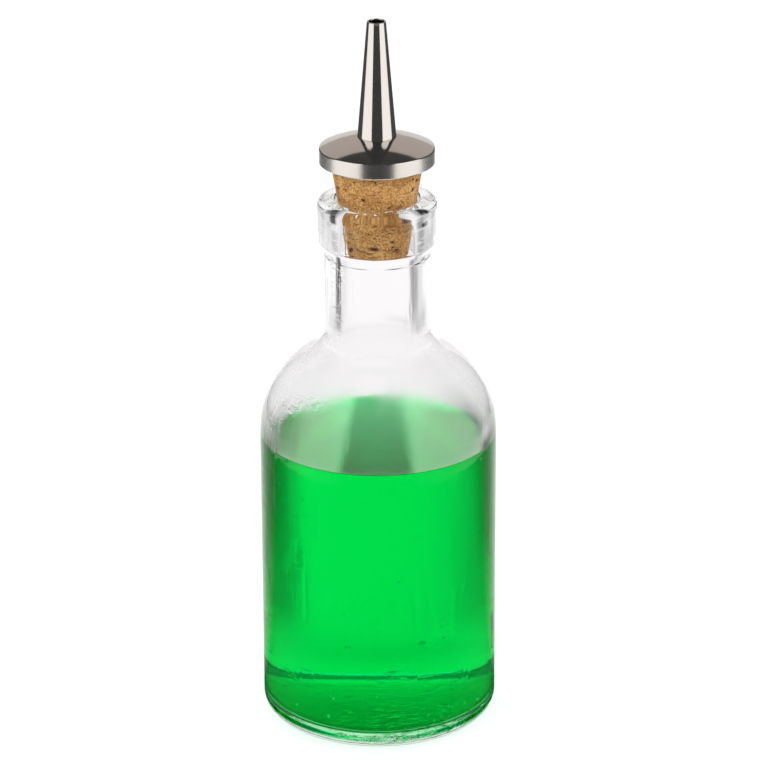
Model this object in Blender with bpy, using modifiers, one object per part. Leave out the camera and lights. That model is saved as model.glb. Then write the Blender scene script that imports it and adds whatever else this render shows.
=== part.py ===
"""Glass dash bottle with a bored cork and a steel pourer, in metres, standing on z = 0 and round about +Z.

Every piece is turned: its outline is drawn in the plane of radius and height, and a Screw modifier turns it.
"""

import math

import bpy
import numpy as np

# Bottle, outside
BODY_RADIUS = 0.0300
BODY_HEIGHT = 0.0766
SHOULDER_RADIUS = 0.0258
NECK_RADIUS = 0.0133
NECK_FILLET = 0.0075
NECK_LENGTH = 0.0215
PARTING_DROP = 0.0030
PARTING_STEP = 0.0002
PARTING_ROUND = 0.00025
LIP_OVERHANG = 0.0017
LIP_TAPER = 0.0003
LIP_HEIGHT = 0.01163
LIP_EDGE = 0.0018
LIP_CORNER = 0.0008
LIP_FILLET = 0.0004
HEEL_RADIUS = 0.0044
FOOT_WIDTH = 0.0029
FOOT_ROUND = 0.0004
RECESS_HEIGHT = 0.00145
RECESS_TURN = 70.0
RECESS_DOME = 0.00065

# Bottle, inside
BODY_WALL = 0.0032
NECK_WALL = 0.0039
MOUTH_FLARE = 0.00063
MOUTH_EDGE = 0.0013
BASE_THICKNESS = 0.0031
FLOOR_RISE = 0.00165
FLOOR_CORNER = 0.0030

# Liquid
FILL_DROP = 0.0021
MENISCUS = 0.0012

# Cork, sized from the bore of the neck
CORK_LENGTH = 0.0224
CORK_TOP_OVERSIZE = 0.0020
CORK_FOOT_UNDERSIZE = 0.00175
CORK_CHAMFER = 0.0005

# Cap, sized from the top of the cork
CAP_OVERHANG = 0.0030
CAP_BAND = 0.0037
CAP_DOME_RADIUS = 0.0335
CAP_EDGE = 0.0004
CAP_CHAMFER = 0.0003
SEAT_MARGIN = 0.0003

# Spout
SPOUT_LENGTH = 0.0290
SPOUT_FOOT_RADIUS = 0.00487
SPOUT_TIP_RADIUS = 0.0024
SPOUT_WALL = 0.00045
SPOUT_FLOOR = 0.0012
SPIGOT_LENGTH = 0.0030
DASH_HOLE_RADIUS = 0.0010

# Stem
STEM_RADIUS = 0.0025
STEM_BORE_RADIUS = 0.0015
STEM_CHAMFER = 0.0003
BARB_COUNT = 3
BARB_HEIGHT = 0.00035
BARB_LENGTH = 0.0022
BARB_PITCH = 0.0040
FIRST_BARB = 0.0055

# Clearance between pieces that touch on the real bottle
GAP = 0.0003

# Fineness of the turned pieces
WIDE_STEPS = 60
SLIM_STEPS = 36
MERGE_DISTANCE = 0.00002

# Radii and heights that follow from the sizes above
inner_radius = BODY_RADIUS - BODY_WALL
bore_radius = NECK_RADIUS - NECK_WALL
lip_radius = NECK_RADIUS + LIP_OVERHANG
mouth_radius = bore_radius + MOUTH_FLARE
lip_wall = lip_radius - mouth_radius
lip_edge = min(LIP_EDGE, 0.5 * lip_wall)
mouth_edge = min(MOUTH_EDGE, 0.4 * lip_wall)
cork_top_radius = bore_radius + CORK_TOP_OVERSIZE
cork_foot_radius = bore_radius - CORK_FOOT_UNDERSIZE
cork_slope = (cork_top_radius - cork_foot_radius) / CORK_LENGTH
cork_lean = math.atan(cork_slope)
cap_radius = cork_top_radius + CAP_OVERHANG
spigot_radius = STEM_RADIUS
cap_bore_radius = STEM_RADIUS + GAP
cork_bore_radius = STEM_RADIUS + BARB_HEIGHT + GAP
push_up = RECESS_HEIGHT + RECESS_DOME
floor_height = push_up + BASE_THICKNESS
fill_height = BODY_HEIGHT - FILL_DROP


def arc(centre_radius, centre_height, radius, start, end, count):
    """Points round a centre from start to end in degrees. 0 points away from the axis and 90 points up."""
    angles = np.radians(np.linspace(start, end, count))
    return [(centre_radius + radius * math.cos(a), centre_height + radius * math.sin(a)) for a in angles]


def dome(edge_radius, top_height, rise, count):
    """Points of a shallow spherical dome, from its edge to its top on the axis."""
    sphere = (edge_radius ** 2 + rise ** 2) / (2 * rise)
    angles = np.linspace(math.asin(edge_radius / sphere), 0, count)
    return [(sphere * math.sin(a), top_height - sphere * (1 - math.cos(a))) for a in angles]


def ogee_rise(wide, convex, narrow, concave):
    """Height of two tangent arcs that lead from a wide upright wall to a narrow one."""
    step = wide - narrow
    return math.sqrt(step * (2 * (convex + concave) - step))


def ogee(wide, convex, narrow, concave, height, count):
    """Points from a wide wall at a height, over a convex and a concave arc, up to a narrow wall."""
    rise = ogee_rise(wide, convex, narrow, concave)
    across = (narrow + concave) - (wide - convex)
    turn = math.degrees(math.atan2(rise, across))
    first = arc(wide - convex, height, convex, 0, turn, count)
    second = arc(narrow + concave, height + rise, concave, 180 + turn, 180, count // 2)
    return first + second


def chain(*runs):
    """Joins runs of points into one outline and drops a point that repeats the one before it."""
    outline = []
    for run in runs:
        for point in run:
            if not outline or math.dist(point, outline[-1]) > MERGE_DISTANCE:
                outline.append(point)
    return outline


def material(name, colour, roughness, metallic=0.0, transmission=0.0, ior=1.5):
    """A Principled material in the colour and finish of one piece."""
    made = bpy.data.materials.new(name)
    made.use_nodes = True
    shader = made.node_tree.nodes["Principled BSDF"]
    shader.inputs["Base Color"].default_value = (*colour, 1.0)
    shader.inputs["Roughness"].default_value = roughness
    shader.inputs["Metallic"].default_value = metallic
    shader.inputs["Transmission Weight"].default_value = transmission
    shader.inputs["IOR"].default_value = ior
    made.diffuse_color = (*colour, 1.0)
    return made


def turn(name, outline, closed, steps, finish, collection):
    """Turns an outline of (radius, height) points once round +Z. The outline runs down its outer side."""
    edges = [(i, i + 1) for i in range(len(outline) - 1)]
    if closed:
        edges.append((len(outline) - 1, 0))
    mesh = bpy.data.meshes.new(name)
    mesh.from_pydata([(radius, 0.0, height) for radius, height in outline], edges, [])
    mesh.materials.append(finish)
    piece = bpy.data.objects.new(name, mesh)
    screw = piece.modifiers.new("Turn", "SCREW")
    screw.axis = "Z"
    screw.angle = math.tau
    screw.steps = steps
    screw.render_steps = steps
    screw.use_merge_vertices = True
    screw.merge_threshold = MERGE_DISTANCE
    screw.use_smooth_shade = True
    collection.objects.link(piece)
    return piece


def neck_start_height():
    """Height where the outside of the shoulder has become the straight neck."""
    return BODY_HEIGHT + ogee_rise(BODY_RADIUS, SHOULDER_RADIUS, NECK_RADIUS, NECK_FILLET)


def lip_start_height():
    """Height of the flat underside of the lip."""
    return neck_start_height() + NECK_LENGTH


def mouth_height():
    """Height of the top of the lip, which is the height of the bare bottle."""
    return lip_start_height() + LIP_HEIGHT


def flare_top_height():
    """Height where the flared bore becomes the rounded edge of the mouth."""
    return mouth_height() - mouth_edge * (1 - math.sin(cork_lean))


def bottle_inside():
    """From the middle of the floor, up the inner wall and the bore, to the flat top of the lip."""
    corner_radius = inner_radius - FLOOR_CORNER
    floor_edge = floor_height - FLOOR_RISE
    floor = dome(corner_radius, floor_height, FLOOR_RISE, 4)[::-1]
    corner = arc(corner_radius, floor_edge + FLOOR_CORNER, FLOOR_CORNER, -90, 0, 6)
    shoulder = ogee(
        inner_radius, SHOULDER_RADIUS - BODY_WALL, bore_radius, NECK_FILLET + NECK_WALL, BODY_HEIGHT, 9
    )
    flare_start = [(bore_radius, flare_top_height() - MOUTH_FLARE / cork_slope)]
    edge_centre = mouth_radius + mouth_edge * math.cos(cork_lean)
    lean = math.degrees(cork_lean)
    mouth = arc(edge_centre, mouth_height() - mouth_edge, mouth_edge, 180 - lean, 90, 4)
    return chain(floor, corner, shoulder, flare_start, mouth)


def bottle_underside():
    """From the foot ring, up the side of the recess in two tangent arcs, to the middle of its ceiling."""
    foot_edge = BODY_RADIUS - HEEL_RADIUS - FOOT_WIDTH
    turn_angle = math.radians(RECESS_TURN)
    both_radii = RECESS_HEIGHT / (1 - math.cos(turn_angle))
    ceiling_radius = foot_edge - both_radii * math.sin(turn_angle)
    upper_radius = both_radii - FOOT_ROUND
    lower = arc(foot_edge, FOOT_ROUND, FOOT_ROUND, -90, -90 - RECESS_TURN, 3)
    upper = arc(ceiling_radius, RECESS_HEIGHT - upper_radius, upper_radius, 90 - RECESS_TURN, 90, 4)
    return lower + upper + dome(ceiling_radius, push_up, RECESS_DOME, 4)


def bottle_outside():
    """From the flat top of the lip, down the outside, to the middle of the recess under the base."""
    lip_top = arc(lip_radius - lip_edge, mouth_height() - lip_edge, lip_edge, 90, 0, 5)
    lip_foot = lip_start_height()
    lip_corner = arc(lip_radius - LIP_TAPER - LIP_CORNER, lip_foot + LIP_CORNER, LIP_CORNER, 0, -90, 3)
    neck_top = NECK_RADIUS - PARTING_STEP
    lip_fillet = arc(neck_top + LIP_FILLET, lip_foot - LIP_FILLET, LIP_FILLET, 90, 180, 3)
    parting_height = lip_foot - PARTING_DROP
    parting = ogee(NECK_RADIUS, PARTING_ROUND, neck_top, PARTING_ROUND, parting_height, 4)[::-1]
    shoulder = ogee(BODY_RADIUS, SHOULDER_RADIUS, NECK_RADIUS, NECK_FILLET, BODY_HEIGHT, 11)[::-1]
    heel = arc(BODY_RADIUS - HEEL_RADIUS, HEEL_RADIUS, HEEL_RADIUS, 0, -90, 6)
    return chain(lip_top, lip_corner, lip_fillet, parting, shoulder, heel, bottle_underside())


def liquid_outline():
    """From the middle of the surface, out to the wall, down it and in to the middle of the floor."""
    radius = inner_radius - GAP
    corner = FLOOR_CORNER - GAP
    floor_edge = floor_height - FLOOR_RISE + GAP
    climb = arc(radius - MENISCUS, fill_height + MENISCUS, MENISCUS, -90, -30, 3)
    side = [(radius, climb[-1][1])]
    bend = arc(radius - corner, floor_edge + corner, corner, 0, -90, 6)
    floor = dome(radius - corner, floor_height + GAP, FLOOR_RISE, 4)
    return chain([(0.0, fill_height)], climb, side, bend, floor)


def cork_seat_height():
    """Height of the cork's foot when its taper lies along the flared bore, a gap away from it."""
    radius_there = mouth_radius - GAP / math.cos(cork_lean)
    return flare_top_height() - (radius_there - cork_foot_radius) / cork_slope


def cork_outline():
    """Tapered plug with chamfered ends and a straight bore, standing on its foot."""
    return [
        (cork_bore_radius, CORK_LENGTH),
        (cork_top_radius - CORK_CHAMFER, CORK_LENGTH),
        (cork_top_radius, CORK_LENGTH - CORK_CHAMFER),
        (cork_foot_radius, CORK_CHAMFER),
        (cork_foot_radius - CORK_CHAMFER, 0.0),
        (cork_bore_radius, 0.0),
    ]


def cap_dome_centre():
    """Height of the centre of the dome's sphere above the underside of the cap."""
    return CAP_BAND - math.sqrt((CAP_DOME_RADIUS - CAP_EDGE) ** 2 - (cap_radius - CAP_EDGE) ** 2)


def cap_seat_height():
    """Height of the flat on the dome that the spout stands on."""
    seat_radius = SPOUT_FOOT_RADIUS + SEAT_MARGIN
    return cap_dome_centre() + math.sqrt(CAP_DOME_RADIUS ** 2 - seat_radius ** 2)


def cap_outline():
    """Disc with a domed top, a flat seat in its middle, an upright band and a bore."""
    seat_radius = SPOUT_FOOT_RADIUS + SEAT_MARGIN
    seat_angle = math.degrees(math.acos(seat_radius / CAP_DOME_RADIUS))
    rim_angle = math.degrees(math.acos((cap_radius - CAP_EDGE) / (CAP_DOME_RADIUS - CAP_EDGE)))
    top = arc(0.0, cap_dome_centre(), CAP_DOME_RADIUS, seat_angle, rim_angle, 8)
    rim = arc(cap_radius - CAP_EDGE, CAP_BAND, CAP_EDGE, rim_angle, 0, 4)
    underside = [
        (cap_radius, CAP_CHAMFER),
        (cap_radius - CAP_CHAMFER, 0.0),
        (cap_bore_radius, 0.0),
    ]
    return chain([(cap_bore_radius, cap_seat_height())], top, rim, underside)


def spout_outline():
    """Hollow cone on a floor with a small hole, and a spigot below the floor that enters the cap."""
    slope = (SPOUT_FOOT_RADIUS - SPOUT_TIP_RADIUS) / SPOUT_LENGTH
    inner_floor_radius = SPOUT_FOOT_RADIUS - slope * SPOUT_FLOOR - SPOUT_WALL
    tip_edge = 0.3 * SPOUT_WALL
    return [
        (SPOUT_TIP_RADIUS - SPOUT_WALL, SPOUT_LENGTH - tip_edge),
        (SPOUT_TIP_RADIUS - SPOUT_WALL + tip_edge, SPOUT_LENGTH),
        (SPOUT_TIP_RADIUS - tip_edge, SPOUT_LENGTH),
        (SPOUT_TIP_RADIUS, SPOUT_LENGTH - tip_edge),
        (SPOUT_FOOT_RADIUS, 0.0),
        (spigot_radius, 0.0),
        (spigot_radius, -SPIGOT_LENGTH),
        (DASH_HOLE_RADIUS, -SPIGOT_LENGTH),
        (DASH_HOLE_RADIUS, SPOUT_FLOOR),
        (inner_floor_radius, SPOUT_FLOOR),
    ]


def stem_length():
    """From the foot of the cork up to just below the spigot of the spout."""
    return CORK_LENGTH + GAP + cap_seat_height() + GAP - SPIGOT_LENGTH - GAP


def stem_outline():
    """Tube with barbs that let it go down into the cork and hold it there."""
    length = stem_length()
    barbs = []
    for index in reversed(range(BARB_COUNT)):
        crest = FIRST_BARB + index * BARB_PITCH
        barbs += [(STEM_RADIUS, crest), (STEM_RADIUS + BARB_HEIGHT, crest), (STEM_RADIUS, crest - BARB_LENGTH)]
    top = [
        (STEM_BORE_RADIUS, length),
        (STEM_RADIUS - STEM_CHAMFER, length),
        (STEM_RADIUS, length - STEM_CHAMFER),
    ]
    foot = [
        (STEM_RADIUS, STEM_CHAMFER),
        (STEM_RADIUS - STEM_CHAMFER, 0.0),
        (STEM_BORE_RADIUS, 0.0),
    ]
    return chain(top, barbs, foot)


def clear_scene():
    """Removes whatever the file opened with."""
    for old in list(bpy.data.objects):
        bpy.data.objects.remove(old, do_unlink=True)


def build():
    clear_scene()
    collection = bpy.data.collections.new("dash_bottle")
    bpy.context.scene.collection.children.link(collection)

    glass = material("clear_glass", (0.93, 0.96, 0.95), 0.02, transmission=1.0, ior=1.5)
    green = material("green_liquid", (0.0, 0.72, 0.06), 0.02, transmission=0.8, ior=1.33)
    bark = material("natural_cork", (0.62, 0.36, 0.14), 0.8)
    satin = material("satin_steel_cap", (0.58, 0.56, 0.54), 0.25, metallic=1.0)
    polished = material("polished_steel_spout", (0.72, 0.71, 0.69), 0.1, metallic=1.0)
    plain = material("plain_steel_stem", (0.6, 0.6, 0.6), 0.35, metallic=1.0)

    turn("bottle", bottle_inside() + bottle_outside(), False, WIDE_STEPS, glass, collection)
    turn("liquid", liquid_outline(), False, WIDE_STEPS, green, collection)

    stopper = bpy.data.objects.new("stopper", None)
    stopper.location = (0.0, 0.0, cork_seat_height())
    collection.objects.link(stopper)
    cap_height = CORK_LENGTH + GAP
    spout_height = cap_height + cap_seat_height() + GAP
    cork = turn("cork", cork_outline(), True, WIDE_STEPS, bark, collection)
    cap = turn("cap", cap_outline(), True, WIDE_STEPS, satin, collection)
    spout = turn("spout", spout_outline(), True, SLIM_STEPS, polished, collection)
    stem = turn("stem", stem_outline(), True, SLIM_STEPS, plain, collection)
    for piece, height in ((cork, 0.0), (cap, cap_height), (spout, spout_height), (stem, 0.0)):
        piece.parent = stopper
        piece.location = (0.0, 0.0, height)


build()
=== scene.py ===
# Glass dash bottle with a cork pourer: the fine surfaces, their finishes, the studio and the camera.
# Everything is in metres and round about +Z. Every turned piece is an outline carried round that axis.

import math

import bpy
import numpy as np
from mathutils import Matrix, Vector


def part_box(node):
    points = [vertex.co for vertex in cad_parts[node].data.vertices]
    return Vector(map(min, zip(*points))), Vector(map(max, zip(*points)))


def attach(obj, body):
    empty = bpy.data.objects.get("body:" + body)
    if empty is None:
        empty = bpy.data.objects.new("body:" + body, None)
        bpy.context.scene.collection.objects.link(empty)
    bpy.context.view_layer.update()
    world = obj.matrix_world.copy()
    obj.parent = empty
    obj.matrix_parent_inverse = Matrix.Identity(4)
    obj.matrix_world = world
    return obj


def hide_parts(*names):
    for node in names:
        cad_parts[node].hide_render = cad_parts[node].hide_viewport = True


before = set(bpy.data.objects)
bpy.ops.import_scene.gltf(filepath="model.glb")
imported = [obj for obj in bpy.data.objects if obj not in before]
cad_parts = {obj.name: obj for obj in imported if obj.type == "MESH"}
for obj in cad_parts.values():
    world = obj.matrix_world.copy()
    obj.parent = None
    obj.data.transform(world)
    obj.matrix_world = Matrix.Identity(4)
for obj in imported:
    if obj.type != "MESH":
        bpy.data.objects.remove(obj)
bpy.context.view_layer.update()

mm = 0.001
slack = 0.01 * mm  # how near two heights or radii count as equal


def nodeHeights(node):
    # lowest and highest of the node's box
    low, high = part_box(node)
    return low.z, high.z


def nodeRadius(node):
    # half the width of the node's box
    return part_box(node)[1].x


def arcRun(centreRadius, centreHeight, radius, start, end, count):
    # centre + radius * (cos a, sin a), with a going evenly from start to end in degrees, 90 pointing up
    a = np.radians(np.linspace(start, end, count))
    return np.column_stack((centreRadius + radius * np.cos(a), centreHeight + radius * np.sin(a)))


def lineRun(first, last, count):
    # first + t * (last - first), with t going evenly from 0 to 1
    return np.linspace(first, last, count)


def pathRun(corners, counts):
    # straight from corner to corner, each side with its own count of points
    return joinRuns(*(lineRun(*side) for side in zip(corners, corners[1:], counts)))


def domeRun(edgeRadius, topHeight, rise, count):
    # a slice of the sphere of radius (edge^2 + rise^2) / (2 rise), from its edge up to the axis
    sphere = (edgeRadius ** 2 + rise ** 2) / (2 * rise)
    a = np.linspace(math.asin(edgeRadius / sphere), 0, count)
    run = np.column_stack((sphere * np.sin(a), topHeight - sphere * (1 - np.cos(a))))
    run[-1, 0] = 0
    return run


def ogeeRise(wide, convex, narrow, concave):
    # two tangent arcs between upright walls a step s apart rise by sqrt(s * (2 * (convex + concave) - s))
    step = wide - narrow
    return math.sqrt(step * (2 * (convex + concave) - step))


def ogeeRun(wide, convex, narrow, concave, height, count):
    # convex arc up and inward from the wide wall, then the concave arc that ends on the narrow wall
    rise = ogeeRise(wide, convex, narrow, concave)
    turn = math.degrees(math.atan2(rise, (narrow + concave) - (wide - convex)))
    first = arcRun(wide - convex, height, convex, 0, turn, count)
    second = arcRun(narrow + concave, height + rise, concave, 180 + turn, 180, count // 2)
    return np.vstack((first, second))


def joinRuns(*runs):
    # all points in order, without those that repeat the one before
    points = np.vstack(runs)
    steps = np.linalg.norm(np.diff(points, axis=0), axis=1)
    return points[np.concatenate(([True], steps > 1e-7))]


def outlineNormals(outline, loop):
    # the tangent turned a quarter, so that it points left of the way the outline runs, which is outwards
    if loop:
        tangent = np.roll(outline, -1, axis=0) - np.roll(outline, 1, axis=0)
    else:
        tangent = np.gradient(outline, axis=0)
    tangent /= np.linalg.norm(tangent, axis=1)[:, None]
    return np.column_stack((-tangent[:, 1], tangent[:, 0]))


def placed(name, data):
    # a new object in the scene, at the origin
    thing = bpy.data.objects.new(name, data)
    bpy.context.scene.collection.objects.link(thing)
    return thing


def carry(mesh, label, values):
    # one number for each vertex
    numbers = mesh.attributes.new(label, "FLOAT", "POINT").data
    numbers.foreach_set("value", values.reshape(-1).astype(np.float32))


def turned(name, outline, sides, loop=False, relief=None, fields=None, sharp=35):
    # point (i, j) = ((r + h nr) cos a, (r + h nr) sin a, z + h nz), where (r, z) is the outline's point i,
    # (nr, nz) its outward normal, a = 2 pi j / sides and h = relief(a, r, z).
    # The outline runs down its outer side.
    a = np.arange(sides) * (2 * math.pi / sides)
    r, z = outline[:, :1], outline[:, 1:]
    grid = np.broadcast_arrays(a[None, :], r, z)
    h = relief(*grid) if relief else np.zeros(grid[0].shape)
    normals = outlineNormals(outline, loop)
    rr = r + h * normals[:, :1]
    zz = z + h * normals[:, 1:]
    points = np.stack((rr * np.cos(a), rr * np.sin(a), zz), axis=-1)
    values = {label: field(*grid) for label, field in (fields or {}).items()}

    rows = len(outline)
    poleStart = not loop and outline[0, 0] < 1e-9
    poleEnd = not loop and outline[-1, 0] < 1e-9
    first, last = int(poleStart), rows - int(poleEnd)
    index = np.arange((last - first) * sides).reshape(last - first, sides)
    below = np.vstack((index, index[:1])) if loop else index
    top, low = below[:-1], below[1:]
    quads = np.stack((top, low, np.roll(low, -1, axis=1), np.roll(top, -1, axis=1)), axis=-1)
    faces = quads.reshape(-1, 4).tolist()
    body = points[first:last].reshape(-1, 3)
    picks = {label: value[first:last].reshape(-1) for label, value in values.items()}
    for isPole, row, edge, flip in ((poleStart, 0, index[0], False), (poleEnd, -1, index[-1], True)):
        if isPole:
            tip = np.full(sides, len(body))
            body = np.vstack((body, [[0, 0, zz[row].mean()]]))
            picks = {label: np.append(v, values[label][row].mean()) for label, v in picks.items()}
            ring = (tip, np.roll(edge, -1), edge) if flip else (tip, edge, np.roll(edge, -1))
            faces += np.stack(ring, axis=-1).tolist()

    mesh = bpy.data.meshes.new(name)
    mesh.from_pydata(body.tolist(), [], faces)
    for label, value in picks.items():
        carry(mesh, label, value)
    mesh.shade_smooth()
    mesh.set_sharp_from_angle(angle=math.radians(sharp))
    return placed(name, mesh)


def dress(piece, finish, body, node):
    # its finish, the body that it rides on, the node that it replaces, if any, and its slot
    piece.data.materials.append(finish)
    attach(piece, body)
    if node:
        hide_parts(node)


class NodeTree:
    # a short way to add and join nodes
    def __init__(self, owner):
        owner.use_nodes = True
        self.nodes = owner.node_tree.nodes
        self.links = owner.node_tree.links
        self.nodes.clear()

    def add(self, kind, inputs=None, **settings):
        # each input is joined to a socket or set to a value
        node = self.nodes.new("ShaderNode" + kind)
        for name, value in settings.items():
            setattr(node, name, value)
        for name, value in (inputs or {}).items():
            socket = node.inputs[name]
            if isinstance(value, bpy.types.NodeSocket):
                self.links.new(value, socket)
            else:
                socket.default_value = value
        return node

    def math(self, operation, *values):
        return self.add("Math", dict(enumerate(values)), operation=operation).outputs[0]

    def ramp(self, factor, *stops):
        # stops are (place, grey or colour)
        node = self.add("ValToRGB", {"Fac": factor})
        points = node.color_ramp.elements
        while len(points) < len(stops):
            points.new(1)
        for point, (place, tone) in zip(points, stops):
            point.position = place
            point.color = (tone, tone, tone, 1) if isinstance(tone, (int, float)) else (*tone, 1)
        return node.outputs["Color"]

    def mix(self, factor, first, second):
        # sockets 0, 6 and 7 are the colour mix's factor and its two colours, and output 2 its result
        node = self.add("Mix", data_type="RGBA")
        for place, value in ((0, factor), (6, first), (7, second)):
            if isinstance(value, bpy.types.NodeSocket):
                self.links.new(value, node.inputs[place])
            else:
                node.inputs[place].default_value = (*value, 1) if place else value
        return node.outputs[2]

    def noise(self, vector, scale, detail=3.0, roughness=0.55, distortion=0.0):
        # the scale is per metre
        settings = {"Vector": vector, "Scale": scale, "Detail": detail, "Roughness": roughness}
        return self.add("TexNoise", {**settings, "Distortion": distortion}).outputs["Fac"]

    def stretched(self, vector, rise):
        # the same place with its height times rise: below 1 a pattern runs upright, above 1 it lies flat
        return self.add("Mapping", {"Vector": vector, "Scale": (1, 1, rise)}).outputs[0]

    def attribute(self, label):
        # what the piece carries under that label
        return self.add("Attribute", attribute_name=label).outputs["Fac"]


def newFinish(name):
    # a material, its node tree and the place on the piece
    finish = bpy.data.materials.new(name)
    tree = NodeTree(finish)
    return finish, tree, tree.add("TexCoord").outputs["Object"]


def rippleField(waves, lowest, highest, fade):
    # sum of depth * sin(k a + 2 pi m z + phase), which dies out over the fade at both heights
    def field(a, r, z):
        total = sum(depth * np.sin(k * a + 2 * math.pi * m * z + phase) for depth, k, m, phase in waves)
        rise = np.clip((z - lowest) / fade, 0, 1)
        fall = np.clip((highest - z) / fade, 0, 1)
        return total * rise * rise * (3 - 2 * rise) * fall * fall * (3 - 2 * fall)
    return field


# Bottle: sizes that the frame doesn't give
glass = dict(
    # body, shoulder and neck, with the step that the mould leaves under the lip
    bodyHeight=76.6 * mm,
    shoulderRadius=25.8 * mm,
    neckRadius=13.3 * mm,
    neckFillet=7.5 * mm,
    neckLength=21.5 * mm,
    partingDrop=3.0 * mm,
    partingStep=0.2 * mm,
    partingRound=0.25 * mm,
    # lip
    lipOverhang=1.7 * mm,
    lipTaper=0.3 * mm,
    lipEdge=1.8 * mm,
    lipCorner=0.8 * mm,
    lipFillet=0.4 * mm,
    # heel, foot ring and recess: the height of its arcs, how far they turn in degrees, the top of its dome
    heelRadius=4.4 * mm,
    footWidth=2.9 * mm,
    footRound=0.4 * mm,
    recessHeight=1.45 * mm,
    recessTurn=70,
    recessTop=2.1 * mm,
    # inside
    bodyWall=3.2 * mm,
    neckWall=3.9 * mm,
    mouthEdge=1.3 * mm,
    mouthFlare=0.63 * mm,
    flareHeight=3.8 * mm,
    baseThickness=3.1 * mm,
    floorRise=1.65 * mm,
    floorCorner=3.0 * mm,
    sides=256,
    # slow waves that blowing leaves in the inner wall: depth, times round, times per metre up, phase
    waves=(
        (0.050 * mm, 3, 9.0, 0.4),
        (0.035 * mm, 5, -17.0, 2.1),
        (0.020 * mm, 9, 31.0, 4.0),
        (0.012 * mm, 16, -55.0, 1.2),
    ),
    rippleStart=6 * mm,
    rippleEnd=2 * mm,
    rippleFade=10 * mm,
    # haze on the inner wall: its roughness, its share at heights over the body's top,
    # how far it stays under the mouth, and patches where it is weaker, as scale per metre and ramp stops
    haze=0.26,
    hazeHeights=(-1.0 * mm, 1.0 * mm, 28 * mm, 40 * mm),
    hazeShares=(0, 1, 1, 0.25),
    hazeDrop=12 * mm,
    wet=(55, (0.36, 0.55), (0.52, 1.0)),
    # upright streaks, flat swirls and the places that have them: scale per metre and ramp stops
    streak=(420, (0.60, 0.0), (0.70, 1.0)),
    swirl=(120, (0.62, 0.0), (0.72, 1.0)),
    some=(45, (0.50, 0.0), (0.60, 1.0)),
    # bump: height of those marks, scale of the waves, scale and share of the fine peel, strength and depth
    marks=3.0,
    flow=170,
    peel=900,
    peelShare=0.12,
    bump=0.06,
    bumpDepth=0.6 * mm,
    index=1.5,
    tint=(0.985, 0.968, 0.977),
    shadowTint=(0.93, 0.96, 0.94),
    shine=(0.05, 0.05, 0.05),
    # the foot ring's dark grey: stippled wear, and painted shade where the bottle meets the floor
    wornAndShaded=(0.12, 0.13, 0.12),
    # light leaves the outer side unbent from this far over the body's top and after more surfaces than this,
    # and the lip's grey streaks of painted shade have this scale, these ramp places and these tones
    freeStart=4 * mm,
    freeDepth=2.5,
    lipShadeStreak=130,
    lipShadePlaces=(0.38, 0.62),
    lipShadeGreys=(0.42, 0.82),
)

bottleRadius = nodeRadius("bottle")
mouthHeight = nodeHeights("bottle")[1]
innerRadius = bottleRadius - glass["bodyWall"]
boreRadius = glass["neckRadius"] - glass["neckWall"]
lipRadius = glass["neckRadius"] + glass["lipOverhang"]
shoulder = (bottleRadius, glass["shoulderRadius"], glass["neckRadius"], glass["neckFillet"])
neckStart = glass["bodyHeight"] + ogeeRise(*shoulder)
underLip = neckStart + glass["neckLength"]
floorHeight = glass["recessTop"] + glass["baseThickness"]
rippleEnds = (floorHeight + glass["rippleStart"], glass["bodyHeight"] + glass["rippleEnd"])
wallRipple = rippleField(glass["waves"], *rippleEnds, glass["rippleFade"])


def innerFloor(overlap):
    # dome of the floor and the round corner up to the wall, moved into the glass by the overlap
    g = glass
    corner = g["floorCorner"] + overlap
    cornerRadius = innerRadius - g["floorCorner"]
    edge = floorHeight - g["floorRise"]
    dome = domeRun(cornerRadius, floorHeight - overlap, g["floorRise"], 14)[::-1]
    return joinRuns(dome, arcRun(cornerRadius, edge + g["floorCorner"], corner, -90, 0, 14))


def underside():
    # from the foot ring inwards: two tangent arcs up to the ceiling of the recess, and its shallow dome
    g = glass
    footInner = bottleRadius - g["heelRadius"] - g["footWidth"]
    turn = math.radians(g["recessTurn"])
    both = g["recessHeight"] / (1 - math.cos(turn))
    ceiling = footInner - both * math.sin(turn)
    upper = both - g["footRound"]
    return joinRuns(
        arcRun(footInner, g["footRound"], g["footRound"], -90, -90 - g["recessTurn"], 7),
        arcRun(ceiling, g["recessHeight"] - upper, upper, 90 - g["recessTurn"], 90, 9),
        domeRun(ceiling, g["recessTop"], g["recessTop"] - g["recessHeight"], 12),
    )


def mouthRuns():
    # bore that opens with the cork's taper, rounded mouth, rounded and tapered lip, its flat underside
    g = glass
    lean = math.degrees(math.atan2(g["mouthFlare"], g["flareHeight"]))
    edge, lip, corner, fillet = g["mouthEdge"], g["lipEdge"], g["lipCorner"], g["lipFillet"]
    mouthRadius = boreRadius + g["mouthFlare"]
    mouthCentre = mouthRadius + edge * math.cos(math.radians(lean))
    flareTop = mouthHeight - edge * (1 - math.sin(math.radians(lean)))
    side = math.degrees(math.atan2(g["lipTaper"], mouthHeight - underLip))
    lipFoot = lipRadius - g["lipTaper"]
    neckTop = g["neckRadius"] - g["partingStep"]
    return joinRuns(
        lineRun((boreRadius, flareTop - g["flareHeight"]), (mouthRadius, flareTop), 6),
        arcRun(mouthCentre, mouthHeight - edge, edge, 180 - lean, 90, 9),
        arcRun(lipRadius - lip, mouthHeight - lip, lip, 90, -side, 11),
        arcRun(lipFoot - corner, underLip + corner, corner, -side, -90, 9),
        arcRun(neckTop + fillet, underLip - fillet, fillet, 90, 180, 7),
    )


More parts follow.
